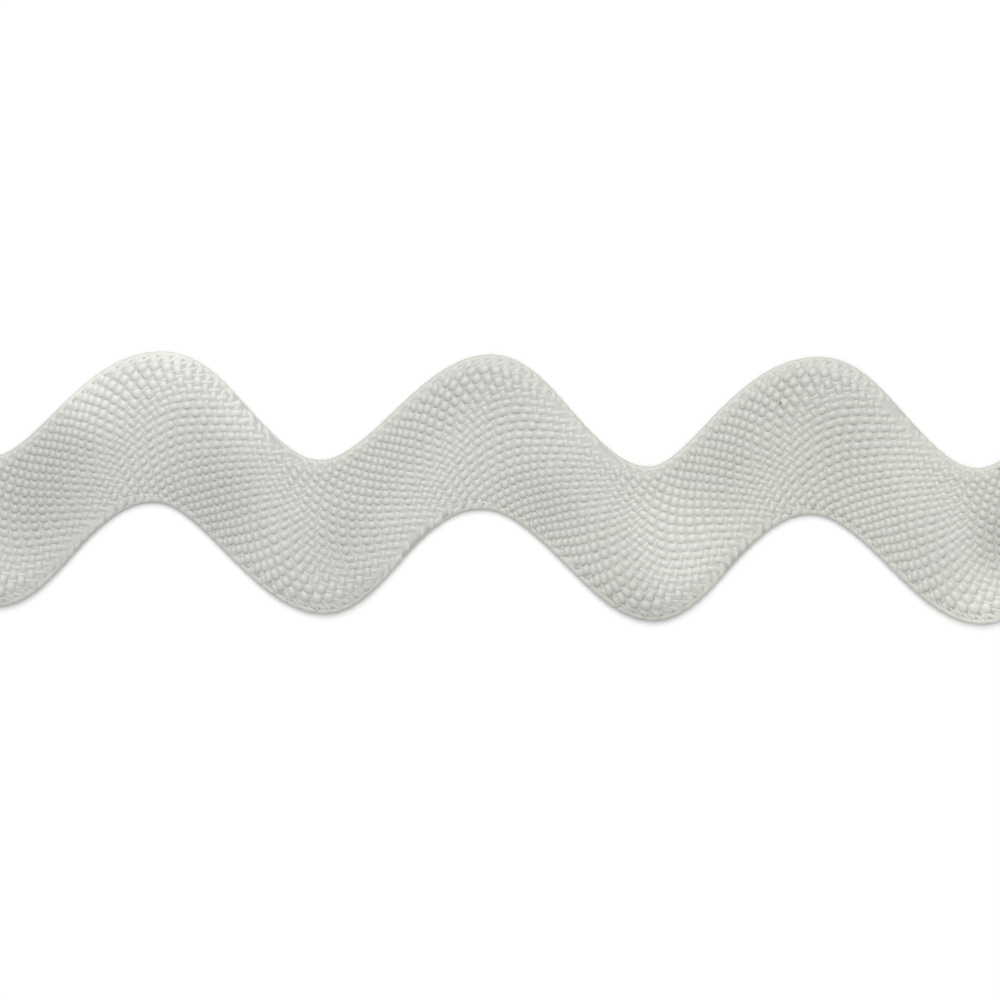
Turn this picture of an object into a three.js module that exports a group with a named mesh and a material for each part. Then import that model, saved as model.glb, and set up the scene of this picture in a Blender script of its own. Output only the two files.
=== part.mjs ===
// A cut length of wide white ric rac, laid flat.
//
// Ric rac is a flat braid. Its yarns are drawn up unevenly on the braiding machine, so the
// finished band swings from side to side in even waves. The band is one piece of cloth, so it is
// one solid: a thin sheet with two wavy selvages, square cut ends, and lobes that stand a little
// proud of the surface it lies on.
//
// X runs along the length, Y across it and Z up. The underside rests at Z = 0. Sizes are in
// millimetres. A place on the band is given by two numbers: `wave`, which counts waves along the
// length from the middle crest, and `across`, which runs from -1 at the near selvage (-Y) to +1
// at the far one (+Y).

import * as THREE from 'three';

// Driving dimensions: the band in plan.
const WAVE_LENGTH = 48;
const WAVE_COUNT = 5;
const SWING = 7.9; // from the middle line of the band out to its crest
const HALF_WIDTH = 11.05; // from the middle line of the band to a selvage, along Y
const SELVAGE_LEAN = 0.95; // how far a selvage is set along X where the band slopes
const SELVAGE_LAG = 0.4; // the same at the crests and troughs

// Driving dimensions: the band in section.
const BODY_THICKNESS = 1.3;
const SELVAGE_THICKNESS = 0.8;
const SELVAGE_ROUND = 0.03; // the part of the half width taken up by the rounded selvage
const SELVAGE_FADE = 6; // how sharply the body thins to the selvage
const LOBE_CROWN = 0.7; // how far the middle of a lobe stands off the surface

// How finely the sheet is divided.
const STATIONS_PER_WAVE = 28;
const COLUMNS = 12;

// The waves aren't quite alike: how far each selvage lies from an even wave, in Y, at each crest,
// slope and trough.
const UNEVENNESS = [
  { wave: -2.5, near: 0.0, far: 0.0 },
  { wave: -2.25, near: 0.8, far: 0.6 },
  { wave: -2.0, near: -0.1, far: 0.2 },
  { wave: -1.75, near: 0.2, far: -0.3 },
  { wave: -1.5, near: 0.5, far: 0.0 },
  { wave: -1.25, near: 1.6, far: 1.1 },
  { wave: -1.0, near: 0.3, far: -0.1 },
  { wave: -0.75, near: -0.1, far: 0.0 },
  { wave: -0.5, near: 0.1, far: 0.1 },
  { wave: -0.25, near: 1.5, far: 0.3 },
  { wave: 0.0, near: -0.1, far: 0.1 },
  { wave: 0.25, near: 0.4, far: -0.7 },
  { wave: 0.5, near: -0.3, far: -0.2 },
  { wave: 0.75, near: 1.0, far: 1.6 },
  { wave: 1.0, near: -0.2, far: 0.4 },
  { wave: 1.25, near: 0.0, far: 0.2 },
  { wave: 1.5, near: -0.1, far: 0.2 },
  { wave: 1.75, near: 0.9, far: 0.8 },
  { wave: 2.0, near: 0.1, far: -0.1 },
  { wave: 2.25, near: -0.2, far: 0.1 },
  { wave: 2.5, near: 0.0, far: 0.0 },
];
const TABLE_STEP = 0.25; // waves between two rows of the table

const FIRST_WAVE = -WAVE_COUNT / 2;
const TURN = 2 * Math.PI;

// The table's offset at a place, eased from one row to the next and blended from selvage to
// selvage.
function unevenness(wave, across) {
  const place = (wave - FIRST_WAVE) / TABLE_STEP;
  const row = Math.min(Math.max(Math.floor(place), 0), UNEVENNESS.length - 2);
  const before = UNEVENNESS[row];
  const after = UNEVENNESS[row + 1];
  const ease = THREE.MathUtils.smoothstep(place - row, 0, 1);
  const near = THREE.MathUtils.lerp(before.near, after.near, ease);
  const far = THREE.MathUtils.lerp(before.far, after.far, ease);
  return THREE.MathUtils.lerp(near, far, (across + 1) / 2);
}

// Where a place on the band lies in plan.
function planPoint(wave, across) {
  const angle = TURN * wave;
  const shift = SELVAGE_LEAN * Math.sin(angle) + SELVAGE_LAG * (Math.cos(angle) - endCosine(wave));
  const x = WAVE_LENGTH * wave + across * shift;
  const y = SWING * Math.cos(angle) + HALF_WIDTH * across + unevenness(wave, across);
  return { x, y };
}

// The selvages' lag dies out over the last quarter wave, so the cut ends are square.
function endCosine(wave) {
  const quartersLeft = (WAVE_COUNT / 2 - Math.abs(wave)) / TABLE_STEP;
  const nearness = 1 - THREE.MathUtils.smoothstep(quartersLeft, 0, 1);
  return nearness * Math.cos(TURN * wave);
}

// How far the cloth stands off the surface: each lobe is crowned on the outer side of its bend,
// and the slopes and selvages lie flat.
function crown(wave, across) {
  const outward = Math.max(0, across * Math.cos(TURN * wave));
  return 4 * LOBE_CROWN * (1 - across ** 2) * outward ** 2;
}

// The cloth's thickness, which thins towards both selvages.
function thickness(across) {
  const fade = Math.abs(across) ** SELVAGE_FADE;
  return THREE.MathUtils.lerp(BODY_THICKNESS, SELVAGE_THICKNESS, fade);
}

// The columns of points between the selvages, closer together towards them.
function columnAcross(column) {
  const share = (2 * column) / (COLUMNS - 1) - 1;
  return (1 - SELVAGE_ROUND) * Math.sin((Math.PI / 2) * share);
}

// One section through the band, as a closed ring: the near selvage's nose, the upper face, the
// far selvage's nose and the underside.
function sectionRing(wave) {
  const ring = [];
  const add = (across, height) => {
    const { x, y } = planPoint(wave, across);
    ring.push(new THREE.Vector3(x, y, height));
  };
  add(-1, SELVAGE_THICKNESS / 2);
  for (let column = 0; column < COLUMNS; column++) {
    const across = columnAcross(column);
    add(across, crown(wave, across) + thickness(across));
  }
  add(1, SELVAGE_THICKNESS / 2);
  for (let column = COLUMNS - 1; column >= 0; column--) {
    const across = columnAcross(column);
    add(across, crown(wave, across));
  }
  return ring;
}

// The triangles that close a cut end, between the upper face and the underside.
function endFaces(first, size) {
  const faces = [];
  const upper = (step) => first + step;
  const lower = (step) => first + ((size - step) % size);
  for (let step = 0; step < size / 2; step++) {
    if (step > 0) faces.push([lower(step), upper(step), lower(step + 1)]);
    if (step < size / 2 - 1) faces.push([upper(step), upper(step + 1), lower(step + 1)]);
  }
  return faces;
}

// The band's closed skin: rings of points from end to end, joined into triangles.
function bandGeometry() {
  const stations = WAVE_COUNT * STATIONS_PER_WAVE;
  const rings = [];
  for (let station = 0; station <= stations; station++) {
    rings.push(sectionRing(FIRST_WAVE + station / STATIONS_PER_WAVE));
  }
  const size = rings[0].length;
  const faces = endFaces(0, size);
  for (let station = 0; station < stations; station++) {
    for (let corner = 0; corner < size; corner++) {
      const here = station * size + corner;
      const beside = station * size + ((corner + 1) % size);
      faces.push([here, here + size, beside]);
      faces.push([beside, here + size, beside + size]);
    }
  }
  for (const [a, b, c] of endFaces(stations * size, size)) faces.push([a, c, b]);

  const geometry = new THREE.BufferGeometry().setFromPoints(rings.flat());
  geometry.setIndex(faces.flat());
  geometry.computeVertexNormals();
  return geometry;
}

// The band in white cotton, set so that its plan is centred on the origin.
function makeBand() {
  const cotton = new THREE.MeshStandardMaterial({ color: 0xe9eae4, roughness: 0.9, metalness: 0 });
  const band = new THREE.Mesh(bandGeometry(), cotton);
  band.name = 'braid';
  band.geometry.computeBoundingBox();
  const centre = band.geometry.boundingBox.getCenter(new THREE.Vector3());
  band.position.set(-centre.x, -centre.y, 0);
  return band;
}

const ricRac = new THREE.Group();
ricRac.name = 'ric_rac';
ricRac.add(makeBand());

export default ricRac;
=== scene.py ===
# %% [markdown]
# # A length of white ric rac
#
# Ric rac is a flat braid. Its yarns run over and under each other from one selvage to the other
# and back, and the braiding machine draws them up unevenly, so the finished band swings from
# side to side in waves. Nothing is woven in, sewn on or printed: the whole look of the real
# thing is yarn. So this scene lays every yarn of the braid as a tube of its own, along the path
# that it takes through the band, and leaves only the fibres inside each yarn to the material.
#
# The imported model comes first. It fixes where the band lies.

# %% Load the imported model
import math

import bpy
import numpy as np
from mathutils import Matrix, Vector


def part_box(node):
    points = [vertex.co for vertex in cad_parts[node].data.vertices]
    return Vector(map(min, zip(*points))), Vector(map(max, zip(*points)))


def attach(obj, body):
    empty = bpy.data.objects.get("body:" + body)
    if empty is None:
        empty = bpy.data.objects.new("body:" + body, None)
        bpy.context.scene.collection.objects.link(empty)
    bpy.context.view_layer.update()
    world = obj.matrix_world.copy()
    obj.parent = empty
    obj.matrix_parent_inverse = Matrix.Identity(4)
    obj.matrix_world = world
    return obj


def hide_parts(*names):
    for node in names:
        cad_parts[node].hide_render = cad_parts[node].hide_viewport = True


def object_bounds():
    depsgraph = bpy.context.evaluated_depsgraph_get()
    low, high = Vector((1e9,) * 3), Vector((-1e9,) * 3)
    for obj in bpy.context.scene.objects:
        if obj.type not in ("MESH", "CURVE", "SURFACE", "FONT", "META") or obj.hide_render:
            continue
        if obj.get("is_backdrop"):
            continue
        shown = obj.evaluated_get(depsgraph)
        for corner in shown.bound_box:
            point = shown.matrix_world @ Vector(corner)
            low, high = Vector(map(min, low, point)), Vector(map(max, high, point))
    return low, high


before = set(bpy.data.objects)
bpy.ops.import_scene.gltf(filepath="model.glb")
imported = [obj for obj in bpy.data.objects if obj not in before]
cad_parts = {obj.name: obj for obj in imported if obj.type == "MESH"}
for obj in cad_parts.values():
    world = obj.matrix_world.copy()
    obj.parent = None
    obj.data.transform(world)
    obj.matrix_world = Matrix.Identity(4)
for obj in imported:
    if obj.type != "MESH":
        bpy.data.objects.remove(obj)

cad_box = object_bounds()
band_low, band_high = (Vector(corner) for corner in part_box("braid"))
print("band, mm:", [round(1000 * side, 1) for side in band_high - band_low])

MM = 0.001
TURN = 2 * math.pi

# %% [markdown]
# ## The camera
#
# The band is seen face on, from far enough away that nothing in it is foreshortened. A long lens
# straight above it does that, and is still a real camera with a place in the room. The picture's
# width is a size on the object, so the distance follows from it and from the lens. The band
# slopes down a little to the right in the frame, which is a small roll of the camera: the band
# itself stays square with the axes.

# %% Place the camera
PICTURE_WIDTH = 146 * MM
PICTURE_CENTRE = (1.75 * MM, -2.1 * MM)  # x and y in the frame
PICTURE_ROLL = 0.0135  # radians
LENS = 200
SENSOR = 36

lens_data = bpy.data.cameras.new("long_lens")
lens_data.lens = LENS
lens_data.sensor_width = SENSOR
camera = bpy.data.objects.new("camera", lens_data)
camera.rotation_euler = (0, 0, PICTURE_ROLL)
camera.location = (*PICTURE_CENTRE, PICTURE_WIDTH * LENS / SENSOR + band_high.z / 2)
bpy.context.scene.collection.objects.link(camera)
bpy.context.scene.camera = camera
print("camera height, m:", round(camera.location.z, 3))

# %% [markdown]
# ## The band's plan
#
# A place on the band is two numbers. `wave` counts waves along the length from the middle crest,
# and `across` runs from -1 at the near selvage to +1 at the far one. The plan turns them into x
# and y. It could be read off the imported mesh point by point, but a yarn needs it between those
# points too, so the same few sizes are written here as the formula that they are.
#
# Real braid isn't even, and a short table says by how much each selvage strays from an even wave
# at each crest, slope and trough. The photograph shows the waves from -1.25 to 1.5. Those twelve
# rows, the sixth to the seventeenth, are what a measuring program read there, rounded. The other
# nine are made up, so that the hidden waves are as uneven as the ones that show.

# %% The selvages and the space between them
WAVE_LENGTH = 48 * MM
WAVE_COUNT = 5
SWING = 7.9 * MM
HALF_WIDTH = 11.05 * MM
SELVAGE_LEAN = 0.95 * MM
SELVAGE_LAG = 0.4 * MM
TABLE_STEP = 0.25  # waves between two rows of the table

# Millimetres in y, from the left end to the right end.
UNEVENNESS = np.array([
    # near, far
    (0.0, 0.0),
    (0.8, 0.6),
    (-0.1, 0.2),
    (0.2, -0.3),
    (0.5, 0.0),
    (1.6, 1.1),
    (0.3, -0.1),
    (-0.1, 0.0),
    (0.1, 0.1),
    (1.5, 0.3),
    (-0.1, 0.1),
    (0.4, -0.7),
    (-0.3, -0.2),
    (1.0, 1.6),
    (-0.2, 0.4),
    (0.0, 0.2),
    (-0.1, 0.2),
    (0.9, 0.8),
    (0.1, -0.1),
    (-0.2, 0.1),
    (0.0, 0.0),
]) * MM


def smoothstep(share):
    share = np.clip(share, 0, 1)
    return share * share * (3 - 2 * share)


def unevenness(wave, across):
    place = (wave + WAVE_COUNT / 2) / TABLE_STEP
    row = np.clip(np.floor(place), 0, len(UNEVENNESS) - 2).astype(int)
    ease = smoothstep(place - row)[..., None]
    near, far = np.moveaxis(UNEVENNESS[row] * (1 - ease) + UNEVENNESS[row + 1] * ease, -1, 0)
    return near + (far - near) * (across + 1) / 2


def end_cosine(wave):
    """The selvages' lag dies out towards the cut ends, so that they are square."""
    quarters_left = (WAVE_COUNT / 2 - np.abs(wave)) / TABLE_STEP
    return (1 - smoothstep(quarters_left)) * np.cos(TURN * wave)


def plan(wave, across):
    angle = TURN * wave
    shift = SELVAGE_LEAN * np.sin(angle) + SELVAGE_LAG * (np.cos(angle) - end_cosine(wave))
    x = WAVE_LENGTH * wave + across * shift
    y = SWING * np.cos(angle) + HALF_WIDTH * across + unevenness(wave, across)
    return np.stack([x, y], axis=-1)


stations = np.linspace(-WAVE_COUNT / 2, WAVE_COUNT / 2, 141)
selvages = np.concatenate([plan(stations, -1.0), plan(stations, 1.0)])
plan_centre = (selvages.min(axis=0) + selvages.max(axis=0)) / 2
frame_centre = np.array((band_low + band_high).xy) / 2
plan_size = np.ptp(selvages, axis=0)
print("plan's centre, mm:", (plan_centre / MM).round(2), "size, mm:", (plan_size / MM).round(1))

# %% [markdown]
# The band doesn't lie quite flat. Each lobe is crowned on the outer side of its bend, where the
# slack yarns are, and the slopes and selvages touch the table.

# %% How high the cloth stands
LOBE_CROWN = 0.7 * MM


def crown(wave, across):
    outward = np.maximum(0, across * np.cos(TURN * wave))
    return 4 * LOBE_CROWN * (1 - across**2) * outward**2


highest = crown(np.array(0.0), np.array(math.sqrt(0.5)))
print("highest crown, mm:", round(float(highest) / MM, 2))

# %% [markdown]
# ## How the yarns are drawn through the band
#
# If every yarn were drawn up alike, the braid would be a straight tape with a regular diamond
# lattice. The uneven pull drags that lattice out of shape inside the wavy outline: the middle of
# the band lags behind its selvages, so a crease leans across each bend; the rows crowd together
# on the inner side of a bend and stand open on the outer side. It is given here as a warp of
# `wave` and `across` before the plan is applied, so that however the yarns move, they can't leave
# the outline. Each term keeps the band's own symmetry, by which a trough is a crest turned over
# and moved on by half a wave. The ten sizes were found by a search that compared the lattice with
# the spacing of the beads in the photograph, and were then rounded.

# %% The drawn lattice
MIDDLE_LAG = 0.08  # waves by which the middle of the band trails its selvages
BEND_LAG = 0.02  # the same, more at each bend than on the slopes
BEND_SPREAD = 0.01  # waves by which rows along a selvage open at an outer bend
STEP_ON = 0.015  # waves by which every bend runs ahead of its slope
SLOPE_SPREAD = 0.04  # waves by which the near and far halves slip apart on the slopes
CREST_SPREAD = 0.025  # the same at the crests and troughs
SLOPE_DROP = 0.25  # how far the middle rows sink down a falling slope, in half widths
BEND_DROP = 0.04  # the same at each bend, towards its inner side
BEND_CROWDING = 0.14  # how far the rows crowd towards the selvages at each bend
SLOPE_CROWDING = 0.04  # how much more they do so just after a bend than just before it


def drawn(wave, across):
    angle = TURN * wave
    sin1, cos1 = np.sin(angle), np.cos(angle)
    sin2, cos2 = np.sin(2 * angle), np.cos(2 * angle)
    inside = 1 - across**2
    slip = STEP_ON * (sin2 + cos2)
    slip -= inside * (MIDDLE_LAG + BEND_LAG * cos2)
    slip += across * BEND_SPREAD * (sin1 + cos1)
    slip -= across * inside * (SLOPE_SPREAD * sin1 + CREST_SPREAD * cos1)
    rows = across * (BEND_CROWDING * cos2 + SLOPE_CROWDING * sin2)
    rows -= SLOPE_DROP * sin1 + BEND_DROP * cos1
    return wave + slip, across + inside * rows


def on_band(wave, across):
    """Where a place in the lattice lies, in the frame's x and y."""
    return plan(*drawn(wave, across)) - plan_centre + frame_centre


print("middle of the middle crest, mm:", (on_band(np.array(0.0), np.array(0.0)) / MM).round(2))

# %% [markdown]
# ## One yarn's path
#
# All the yarns run alike, each a little behind the last. A yarn climbs from the near selvage to
# the far one in half a wave, turns round the edge and comes back down in the other half, and on
# the way it crosses each of the others: over one, under the next. Counting its steps from
# crossing to crossing gives both its place in the plan and whether it is on top there. At a
# selvage it turns in place of a crossing, and goes from over to under in doing so, which is what
# locks the edge.

# %% Steps along a yarn
YARN_COUNT = 35
SELVAGE_INSET = 0.048  # of the half width, so that a turning yarn's outside meets the selvage
STEPS_PER_WAVE = 2 * YARN_COUNT
RINGS_PER_STEP = 4
OVERRUN = 12  # steps that a yarn runs on past the cut before it is trimmed


def across_at(step):
    """Between the selvages. The last two steps before a turn bend round to run along the edge."""
    leg, into_leg = np.divmod(step, YARN_COUNT)
    to_turn = np.minimum(into_leg, YARN_COUNT - into_leg)
    # Flat at the turn, and at two steps it meets the straight run in both place and slope.
    rounded = np.where(to_turn < 2, to_turn**4 * (0.5 - 0.1875 * to_turn), to_turn)
    from_start = np.where(into_leg < YARN_COUNT / 2, rounded, YARN_COUNT - rounded)
    rising = 1 - 2 * (leg % 2)
    return rising * (2 * from_start / YARN_COUNT - 1) * (1 - SELVAGE_INSET)


def crossings_passed(step):
    """Crossings so far. A yarn is fully over or under halfway between two whole numbers."""
    leg, into_leg = np.divmod(step, YARN_COUNT)
    count = np.where(into_leg < 1, into_leg / 2, into_leg - 0.5)
    count = np.where(into_leg > YARN_COUNT - 1, (into_leg + YARN_COUNT - 2) / 2, count)
    return leg * (YARN_COUNT - 1) + count


def rising_share(step):
    """1 on a climbing leg, 0 on a falling one, eased through each turn."""
    leg, into_leg = np.divmod(step, YARN_COUNT)
    to_turn = np.minimum(into_leg, YARN_COUNT - into_leg)
    settled = 0.5 + 0.5 * smoothstep(to_turn / 2)
    return np.where(leg % 2 == 0, settled, 1 - settled)


first_step = -(WAVE_COUNT / 2 + 1) * STEPS_PER_WAVE - OVERRUN
last_step = WAVE_COUNT / 2 * STEPS_PER_WAVE + OVERRUN
steps = np.arange(first_step * RINGS_PER_STEP, last_step * RINGS_PER_STEP + 1) / RINGS_PER_STEP
print("rings to a yarn before trimming:", len(steps))

# %% [markdown]
# Where yarns are pulled hard they lie thin, close and nearly straight, and the slack ones bulge
# over them as plump beads. Both follow from the lattice: the room that a yarn has beside its
# neighbours sets its width, and the family with more room takes more of the up and down.

# %% Room for each family of yarns
NUDGE = 1e-4
CLIMB = 4  # half widths that a yarn climbs or falls in one wave


def pitches(wave, across):
    """The distance between neighbouring yarns of the climbing and of the falling family."""
    along = (on_band(wave + NUDGE, across) - on_band(wave - NUDGE, across)) / (2 * NUDGE)
    over = (on_band(wave, across + NUDGE) - on_band(wave, across - NUDGE)) / (2 * NUDGE)
    climbing = (along + CLIMB * over) / STEPS_PER_WAVE
    falling = (along - CLIMB * over) / STEPS_PER_WAVE
    cell = np.abs(climbing[..., 0] * falling[..., 1] - climbing[..., 1] * falling[..., 0])
    return cell / np.linalg.norm(climbing, axis=-1), cell / np.linalg.norm(falling, axis=-1)


for name, wave, across in (("crest", 0.0, 0.0), ("falling slope", 0.25, 0.0), ("outer crest", 0.05, 0.7)):
    room = [round(float(pitch) / MM, 2) for pitch in pitches(np.array(wave), np.array(across))]
    print("yarn pitch at the", name, "mm:", room)

# %% [markdown]
# ## Yarns as tubes
#
# A curve with a round bevel would be quick, but a yarn in a braid is flattened, swells on each
# float and narrows where it dives, so the tubes are built ring by ring. Small seeded
# irregularities keep the beads from looking stamped.

# %% One yarn's rings
SIDES = 8
FILL = 1.18  # width as a share of a yarn's room; over 1, as neighbours press into each other
SLACK_FILL = 0.75  # how strongly taut yarns shrink from their room
MOST_FILL = 0.95  # the share of that width that the slackest yarns reach
FLOAT_SHAPE = 0.9  # 1 for a rounded float, less for a long one that dives steeply
FLOAT_GAIN = 1.3  # how much longer the floats of slack yarns are on the face
MOST_GAIN = 0.5  # the most that this lengthens or shortens a float
YARN_THICKNESS = 0.8 * MM
THICKNESS_GAIN = 0.35  # how far a fuller yarn is thicker as well as wider
CRIMP = 0.24 * MM  # how far apart two yarns' middles are at a crossing
CRIMP_BIAS = 2.5  # how strongly the roomier family takes the crimp
WAIST = 0.06  # how much a yarn narrows between floats
SELVAGE_ZONE = 0.8  # of the half width; beyond it a yarn widens and flattens for its turn
SELVAGE_YARN = 1.3 * MM  # width of a yarn as it turns
SELVAGE_THINNING = 0.3  # share of its thickness that a yarn loses as it turns
SELVAGE_CALM = 0.8  # share of its crimp that it loses there
WIDTH_SPREAD = 0.07  # irregularity of a yarn's width, as a share
HEIGHT_SPREAD = 0.03 * MM
SIDE_SPREAD = 0.045 * MM
MIDDLE_HEIGHT = 0.57 * MM  # so that the lowest floats are pressed flat on the table
BAND_END = WAVE_COUNT * WAVE_LENGTH / 2
SEED = 48

random = np.random.default_rng(SEED)


def wander(size):
    """Slow noise along a yarn: one random value to a crossing, joined smoothly."""
    knots = random.standard_normal(len(steps) // RINGS_PER_STEP + 3) * size
    place = np.arange(len(steps)) / RINGS_PER_STEP
    before = place.astype(int)
    ease = smoothstep(place - before)
    return knots[before] * (1 - ease) + knots[before + 1] * ease


def tension(wave, across, own_steps):
    """A yarn's room, how full it lies in it, and its share of the crimp at each crossing."""
    climbing, falling = pitches(wave, across)
    rising = rising_share(own_steps)
    own = rising * climbing + (1 - rising) * falling
    other = (1 - rising) * climbing + rising * falling
    fullness = np.minimum((own / other) ** SLACK_FILL, MOST_FILL)
    return own, fullness, own**CRIMP_BIAS / (own**CRIMP_BIAS + other**CRIMP_BIAS)


def float_rise(float_wave, crimp_share, at_selvage):
    """How far a yarn stands above or below the band's middle on each float."""
    rise = CRIMP * crimp_share * (1 - SELVAGE_CALM * at_selvage)
    gain = np.clip(FLOAT_GAIN * (2 * crimp_share - 1), -MOST_GAIN, MOST_GAIN)
    lifted = np.clip(float_wave + gain, -1, 1)
    return rise * np.sign(lifted) * np.abs(lifted) ** FLOAT_SHAPE


def directions(line):
    """Sideways and upward from a yarn's line, at each ring."""
    forward = np.gradient(line, axis=0)
    forward /= np.linalg.norm(forward, axis=1, keepdims=True)
    beside = np.cross((0, 0, 1), forward)
    beside /= np.linalg.norm(beside, axis=1, keepdims=True)
    return beside, np.cross(forward, beside)


def yarn_rings(number):
    """A yarn's rings of points, (rings, sides, 3), and how near a selvage each ring is."""
    wave = number / YARN_COUNT + steps / STEPS_PER_WAVE
    keep = np.abs(wave) < WAVE_COUNT / 2 + OVERRUN / STEPS_PER_WAVE
    wave, own_steps = wave[keep], steps[keep]
    across = across_at(own_steps)
    widths, heights, sides = (wander(size)[keep] for size in (WIDTH_SPREAD, HEIGHT_SPREAD, SIDE_SPREAD))

    own, fullness, crimp_share = tension(wave, across, own_steps)
    at_selvage = smoothstep((np.abs(across) - SELVAGE_ZONE) / (1 - SELVAGE_INSET - SELVAGE_ZONE))
    float_wave = np.sin(math.pi * crossings_passed(own_steps))

    line = np.empty((len(wave), 3))
    line[:, :2] = on_band(wave, across)
    line[:, 2] = MIDDLE_HEIGHT + crown(*drawn(wave, across)) + heights
    line[:, 2] += float_rise(float_wave, crimp_share, at_selvage)
    beside, upward = directions(line)
    line += beside * (sides * (1 - at_selvage))[:, None]

    swell = 1 - WAIST + WAIST * np.abs(float_wave)
    width = own * FILL * fullness
    width += at_selvage * (SELVAGE_YARN - width)
    half_width = width * swell * (1 + widths * (1 - at_selvage)) / 2
    thickness = YARN_THICKNESS * fullness**THICKNESS_GAIN * (1 - SELVAGE_THINNING * at_selvage)
    angle = TURN * (np.arange(SIDES) + 0.5) / SIDES
    outward = (half_width[:, None] * np.cos(angle))[..., None] * beside[:, None]
    raised = (thickness[:, None] / 2 * np.sin(angle))[..., None] * upward[:, None]
    rings = line[:, None] + outward + raised
    rings[..., 2] = np.maximum(rings[..., 2], 0)  # pressed flat where it rests
    return trim(rings, at_selvage)


def trim(rings, at_selvage):
    """Cut a yarn off square at the two ends of the band."""
    middle = rings[:, :, 0].mean(axis=1)
    inside = np.flatnonzero(np.abs(middle) < BAND_END)
    kept = slice(inside[0] - 1, inside[-1] + 2)
    rings = rings[kept].copy()
    rings[:, :, 0] = np.clip(rings[:, :, 0], -BAND_END, BAND_END)
    return rings, at_selvage[kept]


sample, _ = yarn_rings(0)
print("a yarn has", len(sample), "rings; heights, mm:", (sample[:, :, 2].min() / MM).round(2),
      "to", (sample[:, :, 2].max() / MM).round(2))

# %% [markdown]
# The rings of a few neighbouring yarns go into one mesh, which keeps each mesh to a workable
# size. Each tube gets a texture map that runs round it and along it in real lengths, for the
# material's twist, and each yarn a tone of its own.

# %% Meshes of yarns
YARNS_PER_MESH = 7


def tube_faces(first, count):
    """The quads of a closed tube: its side, then both cut ends."""
    ring, side = np.meshgrid(np.arange(count - 1), np.arange(SIDES), indexing="ij")
    here = first + ring * SIDES + side
    beside = first + ring * SIDES + (side + 1) % SIDES
    skin = np.stack([here, beside, beside + SIDES, here + SIDES], axis=-1).reshape(-1, 4)
    cap = np.array([(low, low + 1, SIDES - 2 - low, SIDES - 1 - low) for low in range(SIDES // 2 - 1)])
    return np.concatenate([skin, first + cap[:, ::-1], first + (count - 1) * SIDES + cap])


def tube_map(rings):
    """Texture places for each face corner: turns round the yarn, and metres along it."""
    along = np.linalg.norm(np.diff(rings.mean(axis=1), axis=0), axis=1)
    along = np.concatenate([[0], np.cumsum(along)])
    ring, side = np.meshgrid(np.arange(len(rings) - 1), np.arange(SIDES), indexing="ij")
    round_it = np.stack([side, side + 1, side + 1, side], axis=-1) / SIDES
    along_it = np.stack([along[ring], along[ring], along[ring + 1], along[ring + 1]], axis=-1)
    skin = np.stack([round_it, along_it], axis=-1).reshape(-1, 2)
    ends = np.zeros((2 * 4 * (SIDES // 2 - 1), 2))
    return np.concatenate([skin, ends])


def add_mesh(name, points, quads):
    mesh = bpy.data.meshes.new(name)
    mesh.vertices.add(len(points))
    mesh.vertices.foreach_set("co", np.asarray(points).ravel())
    mesh.loops.add(quads.size)
    mesh.loops.foreach_set("vertex_index", quads.ravel())
    mesh.polygons.add(len(quads))
    mesh.polygons.foreach_set("loop_start", np.arange(len(quads)) * 4)
    mesh.update(calc_edges=True)
    piece = bpy.data.objects.new(name, mesh)
    bpy.context.scene.collection.objects.link(piece)
    return piece


def yarn_mesh(name, numbers):
    points, quads, places, tones, edges, first = [], [], [], [], [], 0
    for number in numbers:
        rings, at_selvage = yarn_rings(number)
        points.append(rings.reshape(-1, 3))
        quads.append(tube_faces(first, len(rings)))
        places.append(tube_map(rings))
        tones.append(np.full(rings.shape[0] * SIDES, random.uniform(0, 1)))
        edges.append(np.repeat(at_selvage, SIDES))
        first += rings.shape[0] * SIDES

    yarns = add_mesh(name, np.concatenate(points), np.concatenate(quads))
    mesh = yarns.data
    mesh.uv_layers.new(name="along_yarn").data.foreach_set("uv", np.concatenate(places).ravel())
    for attribute, values in (("yarn_tone", tones), ("at_selvage", edges)):
        layer = mesh.attributes.new(attribute, "FLOAT", "POINT")
        layer.data.foreach_set("value", np.concatenate(values))
    mesh.shade_smooth()
    print(name, "faces:", len(mesh.polygons))
    return yarns


yarn_groups = [
    yarn_mesh(f"yarns_{start // YARNS_PER_MESH + 1}", range(start, start + YARNS_PER_MESH))
    for start in range(0, YARN_COUNT, YARNS_PER_MESH)
]

# %% [markdown]
# ## The heart of the braid
#
# Between the upper and the lower yarns their fibres press into one another and mat together, so
# no light comes through a real braid at its crossings. A thin closed sheet at the height of the
# yarns' middles stands for that packed heart. It follows the same plan and crown, and stops short
# of the selvages and the cut ends. Its top lies just under the tight yarns' floats. Any lower and
# the gaps would look like holes; any higher and only the slack yarns' beads would show.

# %% The imported heart
HEART_THICKNESS = 0.58 * MM
HEART_REACH = 0.96  # of the half width
HEART_COLUMNS = 17
HEART_STATIONS = 281
HEART_SETBACK = 0.01  # waves short of each cut end
HEART_THINS_FROM = 0.75  # of the half width
HEART_THINNING = 0.15  # share of its thickness lost at its rim


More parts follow.
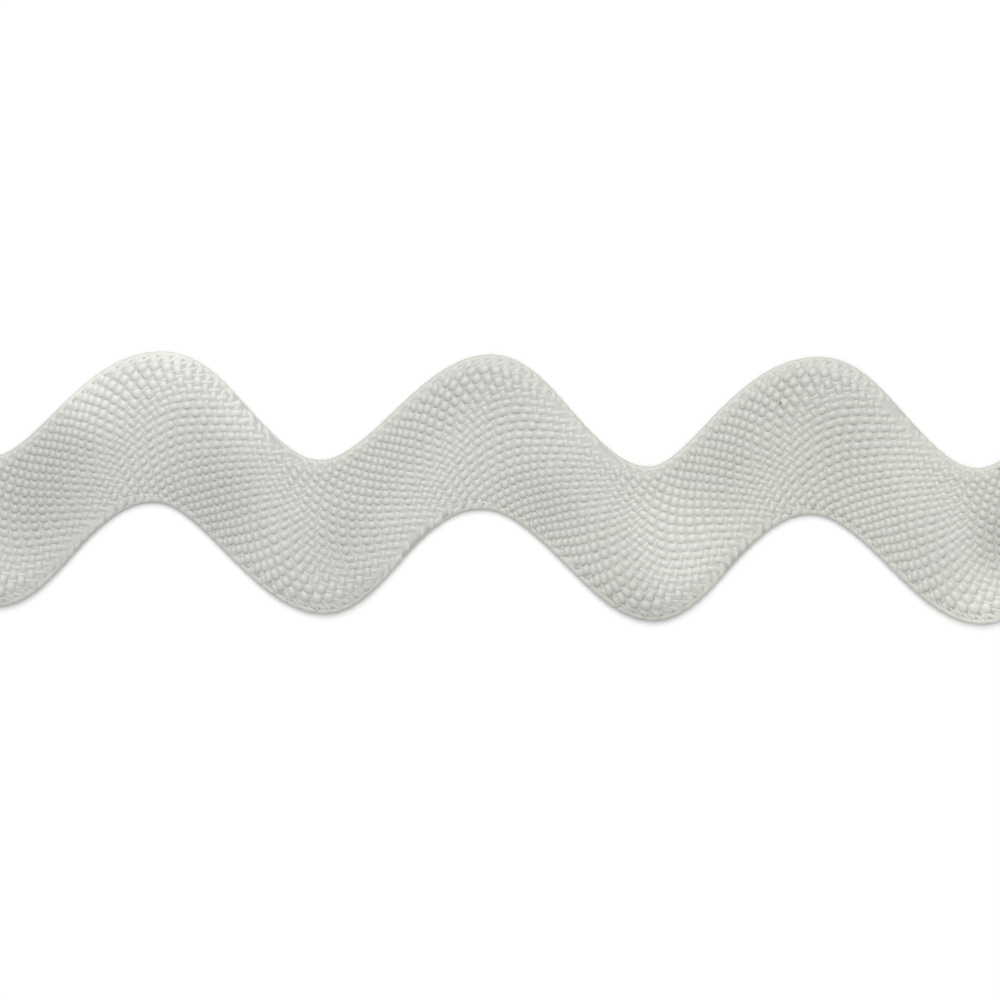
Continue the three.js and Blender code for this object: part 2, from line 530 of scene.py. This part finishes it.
def heart_sheet():
    reach = WAVE_COUNT / 2 - HEART_SETBACK
    wave, across = np.meshgrid(
        np.linspace(-reach, reach, HEART_STATIONS),
        np.linspace(-HEART_REACH, HEART_REACH, HEART_COLUMNS), indexing="ij")
    near_rim = smoothstep((np.abs(across) - HEART_THINS_FROM) / (HEART_REACH - HEART_THINS_FROM))
    half_thickness = HEART_THICKNESS / 2 * (1 - HEART_THINNING * near_rim)
    layers = []
    for side in (1, -1):
        layer = np.empty(wave.shape + (3,))
        layer[..., :2] = plan(wave, across) - plan_centre + frame_centre
        layer[..., 2] = MIDDLE_HEIGHT + crown(wave, across) + side * half_thickness
        layers.append(layer)
    # A ring at each station: the upper side one way, then the underside back.
    rings = np.concatenate([layers[0], layers[1][:, ::-1]], axis=1)
    count, size = rings.shape[:2]
    ring, corner = np.meshgrid(np.arange(count - 1), np.arange(size), indexing="ij")
    here, beside = ring * size + corner, ring * size + (corner + 1) % size
    skin = np.stack([here, here + size, beside + size, beside], axis=-1).reshape(-1, 4)
    low = np.arange(HEART_COLUMNS - 1)
    cap = np.stack([low, low + 1, size - 2 - low, size - 1 - low], axis=-1)
    quads = np.concatenate([skin, cap, (count - 1) * size + cap[:, ::-1]])
    return add_mesh("braid_heart", rings.reshape(-1, 3), quads)


heart = heart_sheet()
heart.data.shade_smooth()
print("heart faces:", len(heart.data.polygons))

# %% [markdown]
# ## White yarn
#
# The yarn is smooth spun white, a little lustrous, so that each float carries a soft highlight.
# Up close every yarn shows its two plies twisting round one another and the fine fibres in them.
# That pattern is wanted twice, on the yarns and, matted, on the heart, so it is one node group
# with its own sizes as inputs. On the yarns it reads the map that runs along each of them, so
# the twist follows the yarn through every bend.

# %% Node helpers
def add_node(tree, kind, **settings):
    node = tree.nodes.new(kind)
    for name, value in settings.items():
        setattr(node, name, value)
    return node


def feed(tree, socket, value):
    if isinstance(value, bpy.types.NodeSocket):
        tree.links.new(value, socket)
    else:
        socket.default_value = value


def calculate(tree, operation, *values, clamp=False):
    node = add_node(tree, "ShaderNodeMath", operation=operation, use_clamp=clamp)
    for socket, value in zip(node.inputs, values):
        feed(tree, socket, value)
    return node.outputs[0]


def blend(tree, share, low, high):
    node = add_node(tree, "ShaderNodeMix", data_type="RGBA")
    feed(tree, node.inputs["Factor"], share)
    feed(tree, node.inputs[6], low)
    feed(tree, node.inputs[7], high)
    return node.outputs[2]


def node_group(name, inputs, outputs):
    tree = bpy.data.node_groups.new(name, "ShaderNodeTree")
    for socket, kind, value in inputs:
        made = tree.interface.new_socket(socket, in_out="INPUT", socket_type=kind)
        if value is not None:
            made.default_value = value
    for socket, kind in outputs:
        tree.interface.new_socket(socket, in_out="OUTPUT", socket_type=kind)
    return tree, tree.nodes.new("NodeGroupInput").outputs, tree.nodes.new("NodeGroupOutput").inputs


# %% Twisted fibres
FIBRES_TO_A_PLY = 9.0
FIBRE_BREAKS = 900.0  # changes in the fibres to a metre of yarn


def fibre_group():
    """Height of plied fibres, and a mask for the painted shade in their valleys, from a place round and
    along the yarn.
    """
    tree, given, wanted = node_group(
        "plied_fibres",
        [("Place", "NodeSocketVector", None), ("Plies", "NodeSocketFloat", 2.0),
         ("Twist length", "NodeSocketFloat", 0.004), ("Fibre depth", "NodeSocketFloat", 0.35)],
        [("Height", "NodeSocketFloat"), ("Shade", "NodeSocketFloat")])
    place = add_node(tree, "ShaderNodeSeparateXYZ")
    tree.links.new(given["Place"], place.inputs[0])
    turns = calculate(tree, "MULTIPLY", place.outputs[0], given["Plies"])
    twist = calculate(tree, "DIVIDE", place.outputs[1], given["Twist length"])
    phase = calculate(tree, "ADD", turns, twist)
    plies = calculate(tree, "ABSOLUTE", calculate(tree, "SINE", calculate(tree, "MULTIPLY", phase, math.pi)))
    stretched = add_node(tree, "ShaderNodeCombineXYZ")
    tree.links.new(calculate(tree, "MULTIPLY", phase, FIBRES_TO_A_PLY), stretched.inputs[0])
    tree.links.new(calculate(tree, "MULTIPLY", place.outputs[1], FIBRE_BREAKS), stretched.inputs[1])
    fibres = add_node(tree, "ShaderNodeTexNoise", noise_dimensions="2D")
    feed(tree, fibres.inputs["Scale"], 1.0)
    feed(tree, fibres.inputs["Detail"], 3.0)
    tree.links.new(stretched.outputs[0], fibres.inputs["Vector"])
    rough = calculate(tree, "MULTIPLY", fibres.outputs[0], given["Fibre depth"])
    tree.links.new(calculate(tree, "ADD", plies, rough), wanted["Height"])
    valleys = calculate(tree, "MULTIPLY_ADD", plies, 0.5, rough, clamp=True)
    tree.links.new(valleys, wanted["Shade"])
    return tree


plied_fibres = fibre_group()
print("fibre group sockets:", [item.name for item in plied_fibres.interface.items_tree])

# %% [markdown]
# The white isn't one white. It drifts from cool to warm along the piece, with slow clouds in it,
# each yarn differs a little from the next, and the selvage turns are a touch creamier. A few
# broad patches of painted light and shade are lighter or darker where the crowned lobes face the
# lamp or turn from it: soft round spots of a given place, reach and strength, added together.
# One tiny dark speck is caught in the outer part of a crest. All of that is colour only.

# %% Broad patches of painted light and shade
PAINTED_LIGHT_AND_SHADE_PATCHES = [
    # x and y, mm; reach, mm; lighter or darker by
    (-58, 13, 10, 0.26),
    (-47, 18, 12, 0.24),
    (-35, 12, 10, 0.20),
    (9, 8, 9, 0.05),
    (25, -3, 8, 0.08),
    (29, -8, 11, 0.14),
    (61, 2, 12, 0.05),
    (73, -22, 13, 0.36),
    (-62, -2, 17, -0.12),
    (-41, -3, 13, -0.12),
    (-68, -6, 12, -0.05),
    (-22, -11, 11, -0.12),
    (-24, -20, 8, 0.05),
    (8, -3, 9, -0.07),
    (21, -17, 10, -0.07),
    (37, 3, 9, -0.05),
    (48, 8, 13, -0.06),
    (76, -7, 8, -0.20),
]
print("patches:", len(PAINTED_LIGHT_AND_SHADE_PATCHES))


def painted_light_and_shade(tree, place):
    """A factor about 1 for the cloth's colour: the painted light and shade of the broad patches."""
    factor = 1.0
    for x, y, reach, strength in PAINTED_LIGHT_AND_SHADE_PATCHES:
        distance = add_node(tree, "ShaderNodeVectorMath", operation="DISTANCE")
        tree.links.new(place, distance.inputs[0])
        distance.inputs[1].default_value = (x * MM, y * MM, 0)
        fade = add_node(tree, "ShaderNodeMapRange", interpolation_type="SMOOTHSTEP")
        tree.links.new(distance.outputs["Value"], fade.inputs["Value"])
        feed(tree, fade.inputs["From Max"], reach * MM)
        feed(tree, fade.inputs["To Min"], strength)
        feed(tree, fade.inputs["To Max"], 0.0)
        factor = calculate(tree, "ADD", fade.outputs[0], factor)
    return factor


# %% The yarn's material
COOL_WHITE = (0.545, 0.563, 0.548, 1)
WARM_WHITE = (0.578, 0.570, 0.516, 1)
SELVAGE_CREAM = (0.570, 0.563, 0.495, 1)
# Painted shade in the ply valleys of the yarns; on the heart, the grey of its random clouds.
VALLEY_SHADE_AND_CLOUD_GREY = (0.48, 0.49, 0.46, 1)
WARMTH_REACH = 220 * MM  # length over which the white drifts from cool to warm
COOL_OFFSET = 0.15  # moves the whole drift towards the cool white
YARN_SHARE = 0.3  # how far yarns differ, as a share of that drift
CREAM_SHARE = 0.4
CLOUD_SCALE = 35.0  # clouds to a metre
TWIST_LENGTH = 3.2 * MM
SPECK_DARK = (0.24, 0.21, 0.18, 1)
SPECK_PLACE = (42.6 * MM, 12.6 * MM, 1.2 * MM)
SPECK_RADIUS = 0.3 * MM


def cloth_tone(tree):
    """Places on the band, and slow clouds over them."""
    coordinates = add_node(tree, "ShaderNodeTexCoord")
    clouds = add_node(tree, "ShaderNodeTexNoise")
    feed(tree, clouds.inputs["Scale"], CLOUD_SCALE)
    feed(tree, clouds.inputs["Detail"], 2.0)
    tree.links.new(coordinates.outputs["Object"], clouds.inputs["Vector"])
    return coordinates.outputs["Object"], clouds.outputs[0]


def yarn_material():
    material = bpy.data.materials.new("white_yarn")
    material.use_nodes = True
    tree = material.node_tree
    shader = tree.nodes["Principled BSDF"]
    fibres = add_node(tree, "ShaderNodeGroup", node_tree=plied_fibres)
    feed(tree, fibres.inputs["Place"], add_node(tree, "ShaderNodeUVMap", uv_map="along_yarn").outputs[0])
    feed(tree, fibres.inputs["Plies"], 2.0)
    feed(tree, fibres.inputs["Twist length"], TWIST_LENGTH)
    feed(tree, fibres.inputs["Fibre depth"], 0.35)

    place, clouds = cloth_tone(tree)
    tone = add_node(tree, "ShaderNodeAttribute", attribute_name="yarn_tone").outputs["Fac"]
    drift = add_node(tree, "ShaderNodeSeparateXYZ")
    tree.links.new(place, drift.inputs[0])
    warmth = calculate(tree, "MULTIPLY_ADD", drift.outputs[0], 1 / WARMTH_REACH, clouds)
    warmth = calculate(tree, "MULTIPLY_ADD", tone, YARN_SHARE, warmth)
    warmth = calculate(tree, "SUBTRACT", warmth, COOL_OFFSET, clamp=True)
    colour = blend(tree, warmth, COOL_WHITE, WARM_WHITE)
    edge = add_node(tree, "ShaderNodeAttribute", attribute_name="at_selvage").outputs["Fac"]
    colour = blend(tree, calculate(tree, "MULTIPLY", edge, CREAM_SHARE), colour, SELVAGE_CREAM)
    # Painted shade: the colour darkens in the valleys between the plies and fibres.
    shade = calculate(tree, "MULTIPLY_ADD", fibres.outputs["Shade"], -0.5, 0.4, clamp=True)
    colour = blend(tree, shade, colour, VALLEY_SHADE_AND_CLOUD_GREY)
    with_painted_light_and_shade = add_node(tree, "ShaderNodeVectorMath", operation="SCALE")
    tree.links.new(colour, with_painted_light_and_shade.inputs[0])
    # Painted light and shade: the broad patches scale the colour up or down.
    tree.links.new(painted_light_and_shade(tree, place), with_painted_light_and_shade.inputs["Scale"])

    distance = add_node(tree, "ShaderNodeVectorMath", operation="DISTANCE")
    tree.links.new(place, distance.inputs[0])
    distance.inputs[1].default_value = SPECK_PLACE
    speck = calculate(tree, "LESS_THAN", distance.outputs["Value"], SPECK_RADIUS)
    colour = blend(tree, speck, with_painted_light_and_shade.outputs[0], SPECK_DARK)
    tree.links.new(colour, shader.inputs["Base Color"])

    bump = add_node(tree, "ShaderNodeBump")
    feed(tree, bump.inputs["Strength"], 0.3)
    feed(tree, bump.inputs["Distance"], 0.05 * MM)
    tree.links.new(fibres.outputs["Height"], bump.inputs["Height"])
    tree.links.new(bump.outputs[0], shader.inputs["Normal"])
    feed(tree, shader.inputs["Roughness"], 0.4)
    feed(tree, shader.inputs["Specular IOR Level"], 0.85)
    feed(tree, shader.inputs["Sheen Weight"], 0.15)
    feed(tree, shader.inputs["Sheen Roughness"], 0.4)
    return material


white_yarn = yarn_material()
for yarns in yarn_groups:
    yarns.data.materials.append(white_yarn)
print("yarn material nodes:", len(white_yarn.node_tree.nodes))

# %% [markdown]
# The heart shows only as the floor of the gaps between yarns. It is the same white, quite matt,
# with the same fibre pattern packed closer, and painted shade darkens that pattern's valleys.

# %% The heart's material
HEART_SHADE = (0.54, 0.55, 0.52, 1)
HEART_WHITE = (0.61, 0.62, 0.59, 1)
HEART_PLIES = 900.0  # to a metre


def heart_material():
    material = bpy.data.materials.new("matted_heart")
    material.use_nodes = True
    tree = material.node_tree
    shader = tree.nodes["Principled BSDF"]
    place, clouds = cloth_tone(tree)
    fibres = add_node(tree, "ShaderNodeGroup", node_tree=plied_fibres)
    tree.links.new(place, fibres.inputs["Place"])
    feed(tree, fibres.inputs["Plies"], HEART_PLIES)
    feed(tree, fibres.inputs["Twist length"], 2.0 * MM)
    feed(tree, fibres.inputs["Fibre depth"], 0.8)
    # Painted shade: the heart is darker in the valleys of its fibre pattern.
    colour = blend(tree, fibres.outputs["Shade"], HEART_SHADE, HEART_WHITE)
    tree.links.new(blend(tree, clouds, colour, VALLEY_SHADE_AND_CLOUD_GREY), shader.inputs["Base Color"])
    bump = add_node(tree, "ShaderNodeBump")
    feed(tree, bump.inputs["Strength"], 0.4)
    feed(tree, bump.inputs["Distance"], 0.05 * MM)
    tree.links.new(fibres.outputs["Height"], bump.inputs["Height"])
    tree.links.new(bump.outputs[0], shader.inputs["Normal"])
    feed(tree, shader.inputs["Roughness"], 0.95)
    return material


heart.data.materials.append(heart_material())

# %% [markdown]
# ## Table and light
#
# The photograph's ground is plain white, with soft light from the top of the picture. A pale
# table and one large lamp on that side give each bead its bright upper side and its dark lower
# one, and an even sky fills the shadows.

# %% Table
TABLE_SIZE = 4.0
TABLE_SHADE = (0.93, 0.93, 0.93, 1)
TABLE_WHITE = (0.95, 0.95, 0.95, 1)
half = TABLE_SIZE / 2
table = add_mesh("table", [(-half, -half, 0), (half, -half, 0), (half, half, 0), (-half, half, 0)],
                 np.array([(0, 1, 2, 3)]))
table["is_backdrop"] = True

table_white = bpy.data.materials.new("table_white")
table_white.use_nodes = True
tree = table_white.node_tree
grain = add_node(tree, "ShaderNodeTexNoise")
feed(tree, grain.inputs["Scale"], 60.0)
shader = tree.nodes["Principled BSDF"]
tree.links.new(blend(tree, grain.outputs[0], TABLE_SHADE, TABLE_WHITE), shader.inputs["Base Color"])
feed(tree, shader.inputs["Roughness"], 0.9)
table.data.materials.append(table_white)

# %% Light
LAMP_PLACE = (-0.1, 0.62, 1.04)
LAMP_SIZE = 1.2
LAMP_POWER = 10.4
SKY_STRENGTH = 0.65

lamp_data = bpy.data.lights.new("soft_lamp", "AREA")
lamp_data.size = LAMP_SIZE
lamp_data.energy = LAMP_POWER
lamp = bpy.data.objects.new("soft_lamp", lamp_data)
lamp.location = LAMP_PLACE
lamp.rotation_euler = (-Vector(LAMP_PLACE)).to_track_quat("-Z", "Y").to_euler()
bpy.context.scene.collection.objects.link(lamp)

sky = bpy.data.worlds.new("even_sky")
sky.use_nodes = True
background = sky.node_tree.nodes["Background"]
background.inputs["Color"].default_value = (1, 1, 1, 1)
background.inputs["Strength"].default_value = SKY_STRENGTH
bpy.context.scene.world = sky
bpy.context.scene.view_settings.view_transform = "Standard"
print("lamp at", LAMP_PLACE, "power", LAMP_POWER)

# %% [markdown]
# ## The pieces and their sizes
#
# Every piece rides with one empty for the root body, and the imported braid that they stand for
# is hidden. The sizes of the imported model and of the pieces are printed.

for piece in [heart, *yarn_groups]:
    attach(piece, "root")
    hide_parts("braid")

# %% Sizes
size = {"cad": [list(corner) for corner in cad_box], "visual": [list(corner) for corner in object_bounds()]}
for name, (low, high) in size.items():
    print(name, "mm:", [round(1000 * (top - base), 2) for base, top in zip(low, high)])
